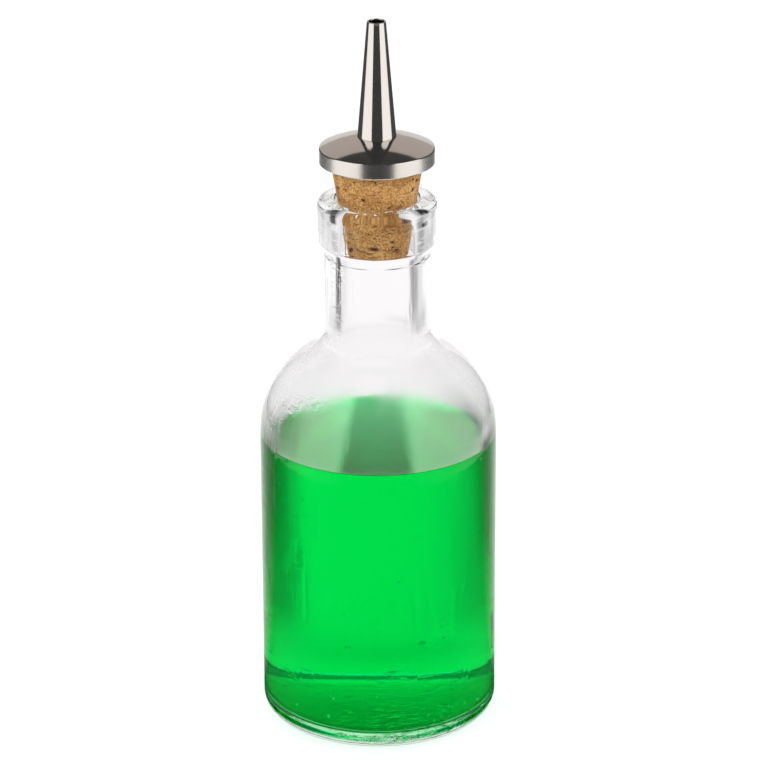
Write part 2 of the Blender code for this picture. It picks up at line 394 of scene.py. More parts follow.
def bottleOutline():
    # floor, inner wall, bore, lip, neck with its parting step, shoulder, heel, foot ring and recess, in order
    g = glass
    convex, concave = g["shoulderRadius"] - g["bodyWall"], g["neckFillet"] + g["neckWall"]
    inShoulder = (innerRadius, convex, boreRadius, concave)
    inNeckStart = g["bodyHeight"] + ogeeRise(*inShoulder)
    parting = underLip - g["partingDrop"]
    neckTop = g["neckRadius"] - g["partingStep"]
    step = ogeeRun(g["neckRadius"], g["partingRound"], neckTop, g["partingRound"], parting, 6)[::-1]
    foot = bottleRadius - g["heelRadius"]
    floor = innerFloor(0)
    mouth = mouthRuns()
    return joinRuns(
        floor,
        lineRun(floor[-1], (innerRadius, g["bodyHeight"]), 34),
        ogeeRun(*inShoulder, g["bodyHeight"], 30),
        lineRun((boreRadius, inNeckStart), mouth[0], 16),
        mouth,
        step,
        lineRun((g["neckRadius"], parting), (g["neckRadius"], neckStart), 5),
        ogeeRun(*shoulder, g["bodyHeight"], 30)[::-1],
        lineRun((bottleRadius, g["bodyHeight"]), (bottleRadius, g["heelRadius"]), 12),
        arcRun(foot, g["heelRadius"], g["heelRadius"], 0, -90, 14),
        underside(),
    )


def insideOnly(a, r, z):
    # the ripple pushes the inner wall along its normal, and the outside stays true
    inside = (z > floorHeight) & (r < innerRadius + slack) & innerSide(r, z)
    return np.where(inside, -wallRipple(a, r, z), 0)


def innerSide(r, z):
    # true on the inner wall: nearer to the axis than halfway through the glass at that height
    g = glass
    rise = np.clip(z - g["bodyHeight"], 0, None)
    middle = g["shoulderRadius"] - g["bodyWall"] / 2
    arc = bottleRadius - g["shoulderRadius"] + np.sqrt(np.clip(middle ** 2 - rise ** 2, 0, None))
    neck = g["neckRadius"] - g["neckWall"] / 2
    body = bottleRadius - g["bodyWall"] / 2
    return r < np.where(z > g["bodyHeight"], np.maximum(arc, neck), body)


def lampGlass(tree, shader, tint):
    # the shader, but rays from lamps go straight through in the tint
    straight = tree.add("BsdfTransparent", {"Color": (*tint, 1)})
    isShadow = tree.add("LightPath").outputs["Is Shadow Ray"]
    mixed = tree.add("MixShader", {0: isShadow, 1: shader.outputs[0], 2: straight.outputs[0]})
    return tree.add("OutputMaterial", {"Surface": mixed.outputs[0]})


def outerField(a, r, z):
    # 1 on the outer side above the liquid, lip included
    return np.where(~innerSide(r, z) & (z > glass["bodyHeight"] + glass["freeStart"]), 1, 0)


def freeLight(tree, shader, place):
    # above the liquid, light that has met three surfaces, or two in the lip, leaves the outer side unbent,
    # and the lip has upright grey streaks of painted shade
    height = tree.add("SeparateXYZ", {"Vector": place}).outputs["Z"]
    inLip = tree.math("GREATER_THAN", height, underLip - glass["partingDrop"])
    met = tree.math("ADD", tree.add("LightPath").outputs["Ray Depth"], inLip)
    late = tree.math("GREATER_THAN", met, glass["freeDepth"])
    leaving = tree.add("NewGeometry").outputs["Backfacing"]
    free = tree.math("MULTIPLY", tree.math("MULTIPLY", tree.attribute("outer"), late), leaving)
    streaks = tree.noise(tree.stretched(place, 0.1), glass["lipShadeStreak"], 1)
    # the grey streaks are painted shade in the light through the lip
    grey = tree.ramp(streaks, *zip(glass["lipShadePlaces"], glass["lipShadeGreys"]))
    unbent = tree.add("BsdfPrincipled", {
        "Base Color": tree.mix(inLip, (1, 1, 1), grey),
        "Roughness": 0.0,
        "IOR": 1.0,
        "Specular Tint": (0, 0, 0, 1),
        "Transmission Weight": 1.0,
    })
    return tree.add("MixShader", {0: free, 1: shader.outputs[0], 2: unbent.outputs[0]})


def footWearAndShade(a, r, z):
    # 1 on the flat ring that the bottle stands on, which is stippled and scuffed, and dark grey as painted
    # shade
    return np.where((z < slack) & (r < bottleRadius), 1, 0)


def hazeField(a, r, z):
    # a faint haze on the inner wall from the liquid's level up, weaker in the neck
    share = np.interp(z - glass["bodyHeight"], glass["hazeHeights"], glass["hazeShares"])
    return np.where(innerSide(r, z) & (z < mouthHeight - glass["hazeDrop"]), share, 0)


def clearGlass():
    # clear glass with waves, streaks and swirls as bump, and haze as roughness, and a foot ring that is
    # opaque dark grey, partly wear and partly painted shade
    g = glass
    finish, tree, place = newFinish("clear_glass")
    # on the foot ring the glass turns opaque and dark grey: scuffed wear and painted shade
    wearAndShade = tree.attribute("wearAndShade")
    wet = tree.ramp(tree.noise(place, g["wet"][0], 2), *g["wet"][1:])
    flow = tree.noise(tree.stretched(place, 0.25), g["flow"], 2)
    height = tree.math("MULTIPLY_ADD", tree.noise(place, g["peel"], 2), g["peelShare"], flow)
    streak = tree.ramp(tree.noise(tree.stretched(place, 0.05), g["streak"][0], 1), *g["streak"][1:])
    swirl = tree.ramp(tree.noise(tree.stretched(place, 5), g["swirl"][0], 2, 0.5, 1.5), *g["swirl"][1:])
    some = tree.ramp(tree.noise(place, g["some"][0], 1), *g["some"][1:])
    marks = tree.math("MULTIPLY", tree.math("MAXIMUM", streak, swirl), some)
    height = tree.math("MULTIPLY_ADD", marks, g["marks"], height)
    bump = tree.add("Bump", {"Height": height, "Strength": g["bump"], "Distance": g["bumpDepth"]})
    shader = tree.add("BsdfPrincipled", {
        "Base Color": tree.mix(wearAndShade, g["tint"], g["wornAndShaded"]),
        "Roughness": tree.math("MULTIPLY", tree.math("MULTIPLY", tree.attribute("haze"), g["haze"]), wet),
        "IOR": g["index"],
        "Specular Tint": (*g["shine"], 1),
        "Transmission Weight": tree.math("SUBTRACT", 1.0, wearAndShade),
        "Normal": bump.outputs[0],
    })
    lampGlass(tree, freeLight(tree, shader, place), g["shadowTint"])
    return finish


bottle = turned(
    "bottle_glass", bottleOutline(), glass["sides"], relief=insideOnly,
    fields={"wearAndShade": footWearAndShade, "haze": hazeField, "outer": outerField}, sharp=60,
)
dress(bottle, clearGlass(), "bottle", "bottle")
print("bottle:", len(bottle.data.polygons), "faces")

# Liquid: it reaches a little into the glass, so that light passes from one to the other as in a full bottle
liquid = dict(
    # level under the body's top, meniscus with the ends of its finer rows, how far it reaches into the glass
    fillDrop=2.1 * mm,
    climb=1.1 * mm,
    climbReach=1.3 * mm,
    climbRows=(6 * mm, 0.02 * mm),
    overlap=0.06 * mm,
    sides=256,
    # colour inside by absorption, and on the side and in the corner by the dye
    index=1.34,
    absorbed=(0.02, 0.966, 0.886),
    density=100,
    dyed=(0.02, 0.95, 0.137),
    dyeEdge=0.6 * mm,
    surfaceInset=1 * mm,
    # film on the surface: its share at the back and the front, and the places at the left where it fades in
    film=(0.24, 0.19),
    filmInset=0.2 * mm,
    filmPlaces=(-25 * mm, -18 * mm),
    filmGrain=(1300, (0.3, 0.75), (0.7, 1.0)),
    filmRoughness=0.25,
    # the film's tone: matt froth, tinted green as painted light from below
    filmToneAndUnderlight=(0.70, 1.0, 0.78),
    # clear lane in the film, darkened as painted shade:
    # its edges left and right of the middle, each at the back and the front
    laneLeft=(6.4 * mm, 9.4 * mm),
    laneRight=(6.4 * mm, 8.4 * mm),
    laneEdge=3.2 * mm,
    laneBack=0.66,
    laneClear=0.8,
    laneShadeTone=(0.04, 0.125, 0.045),
)
fillHeight = glass["bodyHeight"] - liquid["fillDrop"]


def liquidOutline():
    # surface with z = fill + climb * exp(-(wall - r) / reach), then down the wall and along the floor
    over = liquid["overlap"]
    wall = innerRadius + over
    first, last = liquid["climbRows"]
    r = wall - np.concatenate((np.linspace(wall, first, 26)[:-1], np.geomspace(first, last, 26), [0]))
    z = fillHeight + liquid["climb"] * np.exp((r - wall) / liquid["climbReach"])
    floor = innerFloor(over)[::-1]
    surface = np.column_stack((r, z))
    return joinRuns(surface, lineRun(surface[-1], (wall, floor[0, 1]), 36), floor)


def liquidRipple(a, r, z):
    # the wall's own ripple on the side, none on the surface or the floor
    return np.where(r > innerRadius, wallRipple(a, r, z), 0)


def onSurface(r, z, inset):
    # true on the surface, as near to the wall as the inset
    return (z > fillHeight - slack) & (r < innerRadius - inset)


def backToFront(ends, y):
    # back + (front - back) * t, with t going evenly from 0 at the wall behind to 1 at the wall in front
    back, front = ends
    return back + (front - back) * (innerRadius - y) / (2 * innerRadius)


def shadeLaneField(a, r, z):
    # 1 in a clear lane across the surface, darkened as painted shade, with soft edges, and weaker towards the
    # back
    x, y = r * np.cos(a), r * np.sin(a)
    edge = np.where(x < 0, backToFront(liquid["laneLeft"], y), backToFront(liquid["laneRight"], y))
    shadeLane = np.clip(0.5 + (edge - np.abs(x)) / liquid["laneEdge"], 0, 1)
    depth = backToFront((liquid["laneBack"], 1), y)
    return np.where(z > fillHeight - slack, shadeLane * shadeLane * (3 - 2 * shadeLane) * depth, 0)


def filmField(a, r, z):
    # the film on the surface, weak in the painted-shade lane and at the left end
    x, y = r * np.cos(a), r * np.sin(a)
    share = backToFront(liquid["film"], y) * (1 - liquid["laneClear"] * shadeLaneField(a, r, z))
    share = share * np.interp(x, liquid["filmPlaces"], (0, 1))
    return np.where(onSurface(r, z, liquid["filmInset"]), share, 0)


def surfaceField(a, r, z):
    # 1 on the surface inside the meniscus
    return np.where(onSurface(r, z, liquid["surfaceInset"]), 1, 0)


def dyeField(a, r, z):
    # 1 on the side and in the corner, none on the surface and the floor
    cornerStart = innerRadius - glass["floorCorner"]
    return np.where(onSurface(r, z, 0), 0, np.clip((r - cornerStart) / liquid["dyeEdge"], 0, 1))


def greenLiquid():
    # dyed liquid that absorbs all but green, with the film as a thin matt share of its surface, tinted green
    # as painted light from below, and a lane in it darkened as painted shade
    finish, tree, place = newFinish("green_liquid")
    scale, *stops = liquid["filmGrain"]
    grain = tree.ramp(tree.noise(place, scale, 2), *stops)
    clear = tree.math("SUBTRACT", 1.0, tree.math("MULTIPLY", tree.attribute("film"), grain))
    # in the lane the surface takes a dark tone, which is painted shade
    top = tree.mix(tree.attribute("shadeLane"), liquid["filmToneAndUnderlight"], liquid["laneShadeTone"])
    shader = tree.add("BsdfPrincipled", {
        "Base Color": tree.mix(tree.attribute("dye"), top, liquid["dyed"]),
        "Roughness": tree.math("MULTIPLY", tree.attribute("surface"), liquid["filmRoughness"]),
        "IOR": liquid["index"],
        "Specular Tint": (0, 0, 0, 1),
        "Transmission Weight": clear,
    })
    output = lampGlass(tree, shader, (1, 1, 1))
    dye = tree.add("VolumeAbsorption", {"Color": (*liquid["absorbed"], 1), "Density": liquid["density"]})
    tree.links.new(dye.outputs[0], output.inputs["Volume"])
    return finish


fill = turned(
    "green_liquid", liquidOutline(), liquid["sides"], relief=liquidRipple,
    fields={"film": filmField, "shadeLane": shadeLaneField, "dye": dyeField, "surface": surfaceField}, sharp=60,
)
dress(fill, greenLiquid(), "bottle", "liquid")
print("liquid:", len(fill.data.polygons), "faces")

# Bubbles
bubbles = dict(
    # on the wall, near the base and along the edge of the surface: count, lowest, highest, smallest, largest
    groups=(
        (34, 10 * mm, 70 * mm, 0.10 * mm, 0.30 * mm),
        (38, 6 * mm, 15 * mm, 0.15 * mm, 0.50 * mm),
        (26, fillHeight + 0.2 * mm, fillHeight + 0.9 * mm, 0.09 * mm, 0.19 * mm),
    ),
    wallGap=0.05,  # as a share of the bubble's size
    scale=600,
    sides=12,
    rows=9,
    seed=5,
    index=1.28,
    clear=0.9,
    tones=((0.3, (0.55, 0.80, 0.60)), (0.7, (0.95, 1.0, 0.95))),
)


def makeBubbles():
    # centre + size * (cos u cos v, sin u cos v, sin v) for each bubble, its centre a size inside the wall
    rng = np.random.default_rng(bubbles["seed"])
    drawn = [rng.uniform((0, low, small), (2 * math.pi, high, large), (count, 3))
             for count, low, high, small, large in bubbles["groups"]]
    turn, height, size = np.vstack(drawn).T
    reach = innerRadius - size * (1 + bubbles["wallGap"])
    centre = np.column_stack((reach * np.cos(turn), reach * np.sin(turn), height))
    rows, sides = bubbles["rows"], bubbles["sides"]
    u = np.arange(sides) * (2 * math.pi / sides)
    v = np.linspace(-math.pi / 2, math.pi / 2, rows + 2)[1:-1, None]
    rings = np.broadcast_arrays(np.cos(u) * np.cos(v), np.sin(u) * np.cos(v), np.sin(v))
    ball = np.vstack((np.stack(rings, axis=-1).reshape(-1, 3), [(0, 0, -1), (0, 0, 1)]))
    points = centre[:, None] + size[:, None, None] * ball[None]
    grid = np.arange(rows * sides).reshape(rows, sides)
    beside = np.roll(grid, -1, axis=1)
    quads = np.stack((grid[:-1], beside[:-1], beside[1:], grid[1:]), axis=-1).reshape(-1, 4)
    low = np.column_stack((np.full(sides, rows * sides), beside[0], grid[0]))
    high = np.column_stack((np.full(sides, rows * sides + 1), grid[-1], beside[-1]))
    starts = np.arange(len(centre))[:, None, None] * len(ball)
    faces = []
    for part in (quads, low, high):
        faces += (part[None] + starts).reshape(-1, part.shape[1]).tolist()
    mesh = bpy.data.meshes.new("air_bubbles")
    mesh.from_pydata(points.reshape(-1, 3).tolist(), [], faces)
    mesh.shade_smooth()
    return placed("air_bubbles", mesh)


def bubbleSkin():
    # clear, and a little greener in places
    finish, tree, place = newFinish("bubble_skin")
    shader = tree.add("BsdfPrincipled", {
        "Base Color": tree.ramp(tree.noise(place, bubbles["scale"], 1), *bubbles["tones"]),
        "Roughness": 0.0,
        "IOR": bubbles["index"],
        "Transmission Weight": bubbles["clear"],
    })
    lampGlass(tree, shader, (1, 1, 1))
    return finish


froth = makeBubbles()
dress(froth, bubbleSkin(), "bottle", None)
print("bubbles:", len(froth.data.polygons), "faces")

# Cork
cork = dict(
    footRadius=7.65 * mm,
    chamfer=0.5 * mm,
    boreRadius=3.15 * mm,
    boreMargin=1 * mm,
    sides=300,
    # pits: least size and the most that is added to it, then width and height as shares of that size
    pits=260,
    pitSize=(0.12 * mm, 0.55 * mm),
    pitWide=(0.7, 2.6),
    pitTall=(0.5, 1.3),
    pitDepth=0.3 * mm,
    seed=11,
    # swelling in the mouth: half of the front that touches and its fade in degrees, and how far under the
    # mouth it starts, is full and ends
    swell=0.34 * mm,
    touching=60,
    fade=12,
    squeezed=(6.5 * mm, 4.5 * mm, 0.5 * mm),
    # finish: ramp stops of the patches, then tones of specks, bark streaks and pits
    patch=((0.30, (0.38, 0.18, 0.055)), (0.5, (0.50, 0.27, 0.090)), (0.68, (0.62, 0.38, 0.145))),
    speckTone=(0.16, 0.07, 0.022),
    barkTone=(0.15, 0.062, 0.02),
    pitTone=(0.05, 0.022, 0.01),
    roughness=0.85,
    shine=0.25,
    bump=0.6,
    bumpDepth=0.25 * mm,
)


def corkOutline():
    # bore, top, chamfer, tapered side, chamfer and foot, as a closed loop
    c = cork
    low, high = nodeHeights("cork")
    top = nodeRadius("cork")
    bore, foot, chamfer = c["boreRadius"], c["footRadius"], c["chamfer"]
    corners = (
        (bore, low), (bore, high), (top - chamfer, high), (top, high - chamfer),
        (foot, low + chamfer), (foot - chamfer, low), (bore, low),
    )
    return pathRun(corners, (4, 10, 4, 120, 4, 10))[:-1]


def pitField():
    # sum over the pits of exp(-(da / wide)^2 - (dz / tall)^2), at most 1, with pits laid out at random
    c = cork
    rng = np.random.default_rng(c["seed"])
    count = c["pits"]
    angles = rng.uniform(0, 2 * math.pi, count)
    heights = rng.uniform(*nodeHeights("cork"), count)
    size = c["pitSize"][0] + c["pitSize"][1] * rng.uniform(0, 1, count) ** 4
    wide = size * rng.uniform(*c["pitWide"], count)
    tall = size * rng.uniform(*c["pitTall"], count)

    def field(a, r, z):
        total = np.zeros(a.shape)
        for pitAngle, pitHeight, pitWide, pitTall in zip(angles, heights, wide, tall):
            across = (np.mod(a - pitAngle + math.pi, 2 * math.pi) - math.pi) * r
            total += np.exp(-(across / pitWide) ** 2 - ((z - pitHeight) / pitTall) ** 2)
        return np.minimum(total, 1)
    return field


corkPits = pitField()


def naturalCork():
    # warm patches with specks and bark streaks, dark in the pits
    c = cork
    finish, tree, place = newFinish("natural_cork")
    patch = tree.noise(place, 170, 5, 0.65, 0.8)
    grain = tree.noise(place, 2100, 4, 0.75)
    streak = tree.noise(tree.stretched(place, 3.2), 260, 6, 0.75, 1.4)
    speck = tree.ramp(grain, (0.38, 0.9), (0.58, 0.0))
    grained = tree.mix(speck, tree.ramp(patch, *c["patch"]), c["speckTone"])
    barked = tree.mix(tree.ramp(streak, (0.38, 0.9), (0.48, 0.0)), grained, c["barkTone"])
    pit = tree.ramp(tree.attribute("pit"), (0.25, 0.0), (0.8, 1.0))
    height = tree.math("MULTIPLY_ADD", grain, 0.5, patch)
    bump = tree.add("Bump", {"Height": height, "Strength": c["bump"], "Distance": c["bumpDepth"]})
    shader = tree.add("BsdfPrincipled", {
        "Base Color": tree.mix(pit, barked, c["pitTone"]),
        "Roughness": c["roughness"],
        "Specular IOR Level": c["shine"],
        "Normal": bump.outputs[0],
    })
    tree.add("OutputMaterial", {"Surface": shader.outputs[0]})
    return finish


def corkRelief(a, r, z):
    # the front of the side swells until it touches the mouth, pits go in, and the ends and the bore stay true
    c = cork
    low, high = nodeHeights("cork")
    start, full, end = (mouthHeight - under for under in c["squeezed"])
    turn = np.abs(np.degrees(np.mod(a + 1.5 * math.pi, 2 * math.pi) - math.pi))
    front = np.clip((c["touching"] - turn) / c["fade"], 0, 1)
    swell = c["swell"] * np.interp(z, (low, start, full, end, high), (0, 0, 1, 1, 0)) * front
    half = c["chamfer"] / 2
    side = (r > c["boreRadius"] + c["boreMargin"]) & (z > low + half) & (z < high - half)
    return np.where(side, swell - c["pitDepth"] * corkPits(a, r, z), 0)


plug = turned(
    "natural_cork", corkOutline(), cork["sides"], loop=True, relief=corkRelief, fields={"pit": corkPits},
)
dress(plug, naturalCork(), "stopper", "cork")
print("cork:", len(plug.data.polygons), "faces")

# Steel, turned or polished: its rings and smudges, and how much of a piece's roughness is even and smudged
metal = dict(
    ringRise=60,
    ringScale=160,
    lineDepth=0.02 * mm,
    smudgeScale=140,
    evenShare=0.75,
    smudgeShare=0.5,
)

# Cap
cap = dict(
    band=3.7 * mm,
    domeRadius=33.5 * mm,
    edge=0.4 * mm,
    chamfer=0.3 * mm,
    seatRadius=5.17 * mm,
    boreRadius=2.8 * mm,
    sides=256,
    tone=(0.66, 0.63, 0.605),
    roughness=0.10,
    lines=0.15,
    satin=0.16,
)


def capOutline():
    # bore, seat, dome, rounded edge, band, chamfer and underside, as a closed loop
    c = cap
    low, high = nodeHeights("cap")
    rim = nodeRadius("cap")
    centre = low + c["band"] - math.sqrt((c["domeRadius"] - c["edge"]) ** 2 - (rim - c["edge"]) ** 2)
    seat = math.degrees(math.acos(c["seatRadius"] / c["domeRadius"]))
    brow = math.degrees(math.acos((rim - c["edge"]) / (c["domeRadius"] - c["edge"])))
    bore, band, chamfer = c["boreRadius"], low + c["band"], c["chamfer"]
    inner = ((bore, low), (bore, high), (c["seatRadius"], high))
    outer = ((rim, band), (rim, low + chamfer), (rim - chamfer, low), (bore, low))
    return joinRuns(
        pathRun(inner, (3, 6))[:-1],
        arcRun(0, centre, c["domeRadius"], seat, brow, 40),
        arcRun(rim - c["edge"], band, c["edge"], brow, 0, 8),
        pathRun(outer, (12, 3, 12))[:-1],
    )


def steel(name, look):
    # steel with fine rings, and rougher by satin where the attribute of that name is 1
    finish, tree, place = newFinish(name)
    rings = tree.noise(tree.stretched(place, metal["ringRise"]), metal["ringScale"], 4, 0.7)
    smudge = tree.noise(place, metal["smudgeScale"], 3)
    even = look["roughness"] * metal["evenShare"]
    rough = tree.math("MULTIPLY_ADD", smudge, look["roughness"] * metal["smudgeShare"], even)
    if "satin" in look:
        rough = tree.math("MULTIPLY_ADD", tree.attribute("satin"), look["satin"], rough)
    bump = tree.add("Bump", {"Height": rings, "Strength": look["lines"], "Distance": metal["lineDepth"]})
    shader = tree.add("BsdfPrincipled", {
        "Base Color": (*look["tone"], 1),
        "Metallic": 1.0,
        "Roughness": rough,
        "Normal": bump.outputs[0],
    })
    tree.add("OutputMaterial", {"Surface": shader.outputs[0]})
    return finish


def satinField(a, r, z):
    # 1 on the band round the side
    return np.where(r > nodeRadius("cap") - slack, 1, 0)


disc = turned("steel_cap", capOutline(), cap["sides"], loop=True, fields={"satin": satinField}, sharp=30)
dress(disc, steel("cap_steel", cap), "stopper", "cap")
print("cap:", len(disc.data.polygons), "faces")

# Spout
spout = dict(
    tipRadius=2.4 * mm,
    wall=0.45 * mm,
    floor=1.2 * mm,
    spigotLength=3.0 * mm,
    spigotRadius=2.5 * mm,
    holeRadius=1.0 * mm,
    skirt=0.27 * mm,
    sides=192,
    tone=(0.66, 0.64, 0.62),
    roughness=0.07,
    lines=0.1,
)


def spoutOutline():
    # inner cone, rounded tip, outer cone, foot, spigot, small hole and floor, as a closed loop
    s = spout
    low, high = nodeHeights("spout")
    foot = low + s["spigotLength"]
    wide = nodeRadius("spout")
    slope = (wide - s["tipRadius"]) / (high - foot)
    inner = wide - slope * s["floor"] - s["wall"]
    bead = s["wall"] / 2
    tip, spigot, hole = s["tipRadius"], s["spigotRadius"], s["holeRadius"]
    skirt, floor = foot - s["skirt"], foot + s["floor"]
    outer = (
        (tip, high - bead), (wide, foot), (wide, skirt), (spigot, skirt),
        (spigot, low), (hole, low), (hole, floor), (inner, floor),
    )
    return joinRuns(
        lineRun((inner, floor), (tip - s["wall"], high - bead), 20)[:-1],
        arcRun(tip - bead, high - bead, bead, 180, 0, 13),
        pathRun(outer, (60, 2, 6, 4, 3, 4, 5))[:-1],
    )


pourer = turned("steel_spout", spoutOutline(), spout["sides"], loop=True, sharp=30)
dress(pourer, steel("spout_steel", spout), "stopper", "spout")
print("spout:", len(pourer.data.polygons), "faces")

# Stem, hidden in the cork
stem = dict(
    radius=2.5 * mm,
    boreRadius=1.5 * mm,
    chamfer=0.3 * mm,
    barbs=3,
    barbHeight=0.35 * mm,
    barbLength=2.2 * mm,
    barbPitch=4.0 * mm,
    firstBarb=5.5 * mm,
    sides=96,
    tone=(0.60, 0.59, 0.58),
    roughness=0.3,
    lines=0.3,
)


def stemOutline():
    # bore, chamfered top, barbs from the top down, chamfered foot, as a closed loop
    s = stem
    low, high = nodeHeights("stem")
    crests = low + s["firstBarb"] + s["barbPitch"] * np.arange(s["barbs"])[::-1]
    barb = np.array(((s["radius"], 0), (s["radius"] + s["barbHeight"], 0), (s["radius"], -s["barbLength"])))
    barbs = (barb[None] + np.column_stack((np.zeros(s["barbs"]), crests))[:, None]).reshape(-1, 2)
    return joinRuns(
        [(s["boreRadius"], low), (s["boreRadius"], high), (s["radius"] - s["chamfer"], high)],
        [(s["radius"], high - s["chamfer"])],
        barbs,
        [(s["radius"], low + s["chamfer"]), (s["radius"] - s["chamfer"], low)],
    )


tube = turned("steel_stem", stemOutline(), stem["sides"], loop=True, sharp=25)
dress(tube, steel("stem_steel", stem), "stopper", "stem")
print("stem:", len(tube.data.polygons), "faces")

# Studio: white floor, lamps for the matt surfaces and cards that only reflections see
studio = dict(
    floorSize=8.0,
    floorHeight=-0.1 * mm,
    floorTone=0.9,
    floorGlow=0.65,
    skyTone=0.55,
    dark=0.06,
    # upright cards: azimuths of both ends, distance, lowest and highest, tone
    cards=(
        ("softbox_left", -92, -31, 0.36, 0.0, 0.60, (1.34, 1.30, 1.25)),
        ("softbox_right", 36, 92, 0.36, 0.0, 0.60, (1.34, 1.30, 1.25)),
        ("back_panel_low", 154, 206, 0.90, 0.0, 0.34, (0.80, 0.76, 0.73)),
        ("back_panel_high", 132, 228, 1.15, 0.34, 1.07, (0.54, 0.48, 0.44)),
        ("flag_left", -156, -97, 0.45, 0.0, 0.30, (0.08, 0.08, 0.08)),
        ("flag_right", 97, 156, 0.45, 0.0, 0.30, (0.08, 0.08, 0.08)),
    ),
    # dark card on the floor: azimuths of both ends, nearest and farthest, height, tone
    frontDark=("front_dark", -33.5, 33.5, 0.10, 3.0, 1 * mm, (0.06, 0.06, 0.06)),
    # lamps: azimuth, distance, height, size, watts, and the height that they look at
    lamps=(
        ("lamp_left", -55, 0.9, 0.7, 0.7, 9),
        ("lamp_right", 60, 0.9, 0.6, 0.7, 7),
        ("lamp_top", 180, 0.35, 1.1, 0.8, 9),
    ),
    lampTone=(1.0, 0.985, 0.96),
    lampAim=0.1,
)


def stageSheet(name, mesh, glossy):
    # a sheet that only reflections see, or else only what goes through glass
    sheet = placed(name, mesh)
    sheet.visible_camera = False
    sheet.visible_diffuse = False
    sheet.visible_shadow = False
    sheet.visible_glossy = glossy
    sheet.visible_transmission = not glossy


def glow(mesh, tone=None, fromBelow=False):
    # glows in the tone, or as bright as its attribute of that name says, and if asked only seen from below
    finish = bpy.data.materials.new(mesh.name)
    tree = NodeTree(finish)
    inputs = {"Color": (*tone, 1), "Strength": 1.0} if tone else {"Strength": tree.attribute("tone")}
    surface = tree.add("Emission", inputs).outputs[0]
    if fromBelow:
        under = tree.add("NewGeometry").outputs["Backfacing"]
        free = tree.add("BsdfTransparent").outputs[0]
        surface = tree.add("MixShader", {0: under, 1: free, 2: surface}).outputs[0]
    tree.add("OutputMaterial", {"Surface": surface})
    finish.cycles.emission_sampling = "NONE"
    mesh.materials.append(finish)


def card(name, corners, tone):
    # a flat glowing sheet between four corners
    mesh = bpy.data.meshes.new(name)
    mesh.from_pydata(corners, [], [(0, 1, 2, 3)])
    glow(mesh, tone)
    stageSheet(name, mesh, True)


def aroundPoint(azimuth, distance, height):
    # azimuth in degrees from the camera's side, positive to the right
    a = math.radians(azimuth)
    return (distance * math.sin(a), -distance * math.cos(a), height)


def uprightCard(name, first, last, distance, low, high, tone):
    # stands between two azimuths at a distance
    ends = [aroundPoint(azimuth, distance, 0) for azimuth in (first, last)]
    card(name, [(x, y, low) for x, y, _ in ends] + [(x, y, high) for x, y, _ in ends[::-1]], tone)


def lyingCard(name, first, last, near, far, height, tone):
    # lies between two azimuths and two distances
    places = ((first, near), (last, near), (last, far), (first, far))
    card(name, [aroundPoint(azimuth, distance, height) for azimuth, distance in places], tone)


# Shade disc: what the glass shows of the floor, with painted shadows and shade as grey patches. A patch has
# its pivot, then the middle, half width and power of its azimuth and of its distance, and its depth. The
# first four are the body's dark sides, those at 0.24 m the shoulder's, those from 0.3 to 0.5 m the lines in
# the neck and those past 0.6 m the bands in the lip. The last one is the ring under the base, a painted
# contact shadow.
shade = dict(
    height=-0.05 * mm,
    near=5 * mm,
    reach=1.6,
    rings=200,
    turnStep=1.5,
    darkest=0.03,
    patches=(
        ((-0.010, 0.028), 134, 20.5, 6, 0.125, 0.12, 8, 0.60),
        ((0.010, 0.028), -134, 24, 3, 0.125, 0.12, 8, 0.48),
        ((0, 0), -128, 24, 4, 0.15, 0.08, 4, 0.50),
        ((0, 0), 128, 24, 4, 0.15, 0.08, 4, 0.40),
        ((0, 0), 157, 12, 4, 0.24, 0.05, 4, 0.65),
        ((0, 0), 136, 12, 4, 0.305, 0.05, 4, 0.22),
        ((0, 0), -119, 12, 4, 0.31, 0.09, 6, 0.88),
        ((0, 0), -156, 9, 4, 0.24, 0.05, 4, 0.30),
        ((0, 0), -136, 10, 4, 0.48, 0.06, 4, 0.20),
        ((0, 0), 130, 11, 4, 0.48, 0.06, 6, 0.68),
        ((0, 0), 113, 13, 4, 0.40, 0.13, 6, 0.60),
        ((0, 0), -109, 10, 4, 0.69, 0.09, 6, 0.30),
        ((0, 0), 113, 14, 4, 0.66, 0.08, 6, 0.45),
        ((0, 0), 150, 22, 4, 0.72, 0.10, 6, 0.25),
        ((0, 0), 0, 1000, 4, 0.0, 0.027, 12, 0.45),
    ),
    start=(10 * mm, 42 * mm),  # distances from a pivot behind the axis over which its patch fades in
)


def polarSheet(name, turns, distances, height, closed, tone, glossy=False, fromBelow=False):
    # points (d sin a, -d cos a, height) over all azimuths a and distances d, each with the tone of its place
    x = distances[:, None] * np.sin(turns)
    y = -distances[:, None] * np.cos(turns)
    points = np.stack((x, y, np.full(x.shape, height)), axis=-1).reshape(-1, 3)
    index = np.arange(x.size).reshape(x.shape)
    ring = np.hstack((index, index[:, :1])) if closed else index
    quads = np.stack((ring[:-1, :-1], ring[1:, :-1], ring[1:, 1:], ring[:-1, 1:]), axis=-1)
    faces = quads.reshape(-1, 4).tolist() + ([index[0].tolist()] if closed else [])
    mesh = bpy.data.meshes.new(name)
    mesh.from_pydata(points.tolist(), [], faces)
    carry(mesh, "tone", np.broadcast_to(tone(x, y), x.shape))
    glow(mesh, fromBelow=fromBelow)
    stageSheet(name, mesh, glossy)


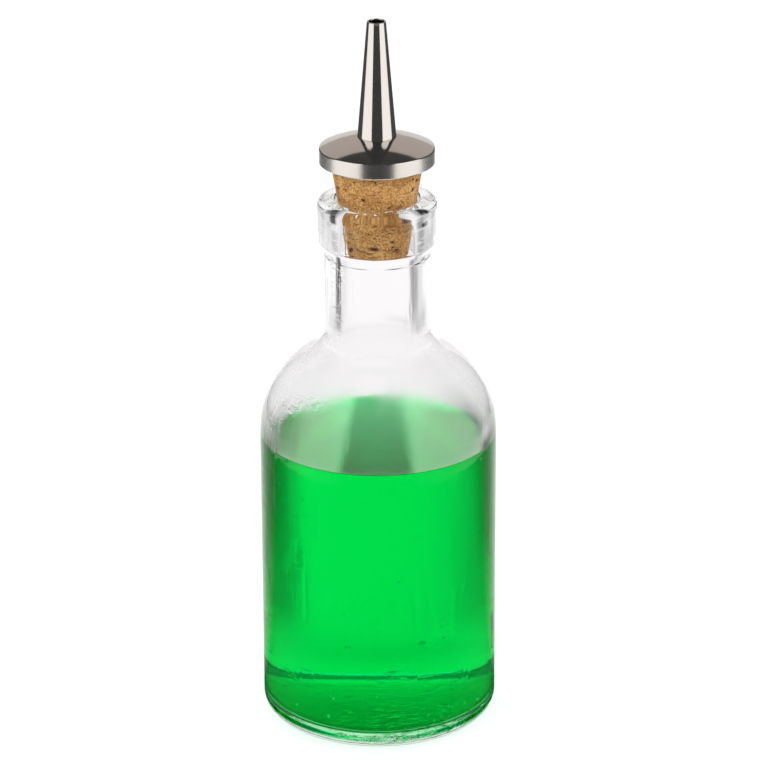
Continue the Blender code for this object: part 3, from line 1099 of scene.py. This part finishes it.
def discTone(x, y):
    # 1 - sum of depth * exp(-|da / wa|^pa - |dr / wr|^pr), with azimuth and distance measured from each pivot
    tone = np.ones(x.shape)
    first, full = shade["start"]
    for (pivotX, pivotY), middle, wide, powerAcross, distance, deep, powerAlong, depth in shade["patches"]:
        azimuth = np.degrees(np.arctan2(x - pivotX, pivotY - y))
        across = (np.mod(azimuth - middle + 180, 360) - 180) / wide
        away = np.hypot(x - pivotX, y - pivotY)
        along = (away - distance) / deep
        clear = np.clip((away - first) / (full - first), 0, 1) if pivotY else 1
        tone -= depth * clear * np.exp(-np.abs(across) ** powerAcross - np.abs(along) ** powerAlong)
    return np.clip(tone, shade["darkest"], 1)


def makeShadeDisc():
    # white disc on the floor with soft grey patches of painted shade, seen through glass only
    turns = np.radians(np.arange(-180, 180, shade["turnStep"]))
    distances = np.geomspace(shade["near"], shade["reach"], shade["rings"])
    polarSheet("shade_disc", turns, distances, shade["height"], True, discTone)


# Around the bottle: a dark ring on the floor for reflections, and a dark ceiling seen through glass
around = dict(
    turnStep=2,
    rows=3,
    ring=(0.031, 0.20),
    ringHeight=0.5 * mm,
    ringAzimuths=(0, 110, 124, 142, 180),
    ringTones=(0.02, 0.02, 0.40, 0.80, 1.0),
    ceiling=(1 * mm, 0.28),
    ceilingHeight=0.30,
    ceilingTone=0.25,
)


def ringTone(x, y):
    # read off at the size of the azimuth, which is 0 towards the camera
    return np.interp(np.abs(np.degrees(np.arctan2(x, -y))), around["ringAzimuths"], around["ringTones"])


def ceilingTone(x, y):
    # the same everywhere
    return around["ceilingTone"]


def makeSurroundings():
    # the ring from above, and the ceiling
    turns = np.radians(np.arange(-180, 180, around["turnStep"]))
    ring = np.linspace(*around["ring"], around["rows"])
    ceiling = np.linspace(*around["ceiling"], around["rows"])
    polarSheet("dark_ring", turns, ring, around["ringHeight"], False, ringTone, glossy=True)
    polarSheet("dark_ceiling", turns, ceiling, around["ceilingHeight"], True, ceilingTone)


# Grey canopy behind the bottle, seen through glass from below only: distances in mm and their tones
canopy = dict(
    height=45 * mm,
    turns=(90, 271, 3),
    rows=101,
    places=(40, 61, 72, 78, 85, 93, 105, 112, 118, 128, 140),
    tones=(0.20, 0.22, 0.36, 0.43, 0.47, 0.58, 0.68, 0.62, 0.70, 1.0, 1.0),
)


def canopyTone(x, y):
    # read off at the distance from the axis
    return np.interp(np.hypot(x, y) / mm, canopy["places"], canopy["tones"])


def makeCanopy():
    # a half ring, which light from above passes unchanged
    turns = np.radians(np.arange(*canopy["turns"]))
    distances = np.linspace(canopy["places"][0], canopy["places"][-1], canopy["rows"]) * mm
    polarSheet("canopy", turns, distances, canopy["height"], False, canopyTone, fromBelow=True)


def makeFloor():
    # matt white that glows in part for the camera, through glass and in reflections
    half, low, tone = studio["floorSize"] / 2, studio["floorHeight"], studio["floorTone"]
    mesh = bpy.data.meshes.new("floor")
    corners = [(-half, -half, low), (half, -half, low), (half, half, low), (-half, half, low)]
    mesh.from_pydata(corners, [], [(0, 1, 2, 3)])
    floor = placed("floor", mesh)
    finish = bpy.data.materials.new("white_floor")
    tree = NodeTree(finish)
    matt = tree.add("BsdfDiffuse", {"Color": (tone, tone, tone, 1)})
    bright = tree.add("Emission", {"Color": (1, 1, 1, 1), "Strength": 1.0})
    path = tree.add("LightPath").outputs
    seen = tree.math("MAXIMUM", path["Is Camera Ray"], path["Is Transmission Ray"])
    seen = tree.math("MAXIMUM", seen, path["Is Glossy Ray"])
    share = tree.math("MULTIPLY", seen, studio["floorGlow"])
    mixed = tree.add("MixShader", {0: share, 1: matt.outputs[0], 2: bright.outputs[0]})
    tree.add("OutputMaterial", {"Surface": mixed.outputs[0]})
    finish.cycles.emission_sampling = "NONE"
    mesh.materials.append(finish)


def makeWorld():
    # white for the camera and through glass, dark for reflections, pale grey for matt surfaces
    world = bpy.data.worlds.new("studio")
    bpy.context.scene.world = world
    tree = NodeTree(world)
    path = tree.add("LightPath").outputs
    white = tree.math("MAXIMUM", path["Is Camera Ray"], path["Is Transmission Ray"])
    direct = tree.math("SUBTRACT", 1.0, path["Is Transmission Ray"])
    reflected = tree.math("MULTIPLY", path["Is Glossy Ray"], direct)
    tone = tree.mix(reflected, (studio["skyTone"],) * 3, (studio["dark"],) * 3)
    tone = tree.mix(white, tone, (1.0, 1.0, 1.0))
    sky = tree.add("Background", {"Color": tone, "Strength": 1.0})
    tree.add("OutputWorld", {"Surface": sky.outputs[0]})


def makeLamp(name, azimuth, distance, height, size, watts):
    # a square lamp that looks at the bottle's shoulder and lights matt surfaces only
    data = bpy.data.lights.new(name, "AREA")
    data.shape = "SQUARE"
    data.size = size
    data.energy = watts
    data.color = studio["lampTone"]
    lamp = placed(name, data)
    x, y, z = aroundPoint(azimuth, distance, height)
    lamp.location = (x, y, z)
    away = Vector((x, y, z - studio["lampAim"]))
    lamp.rotation_euler = away.to_track_quat("Z", "Y").to_euler()
    lamp.visible_camera = False
    lamp.visible_glossy = False
    lamp.visible_transmission = False


makeFloor()
makeWorld()
for sheet in studio["cards"]:
    uprightCard(*sheet)
lyingCard(*studio["frontDark"])
makeShadeDisc()
makeSurroundings()
makeCanopy()
for lamp in studio["lamps"]:
    makeLamp(*lamp)
print("studio: floor, world, cards and lamps")

# Camera, as found from the round edges in the photograph
view = dict(
    place=(0.0, -0.8729, 0.43449),
    down=21.541,
    roll=-0.26,
    lens=175.85,
    sensor=36,
    shift=0.00263,
    clip=(0.05, 20),
    bounces=24,
)


def makeCamera():
    # looks down by that angle and rolls about its own axis
    data = bpy.data.cameras.new("camera")
    data.lens = view["lens"]
    data.sensor_width = view["sensor"]
    data.shift_x = view["shift"]
    data.clip_start, data.clip_end = view["clip"]
    camera = placed("camera", data)
    camera.rotation_mode = "ZYX"
    camera.rotation_euler = (math.radians(90 - view["down"]), 0, math.radians(view["roll"]))
    camera.location = view["place"]
    bpy.context.scene.camera = camera


makeCamera()
bpy.context.scene.view_settings.view_transform = "Standard"
bpy.context.scene.cycles.max_bounces = view["bounces"]
bpy.context.scene.cycles.transmission_bounces = view["bounces"]
bpy.context.scene.cycles.glossy_bounces = view["bounces"]
print("camera set")
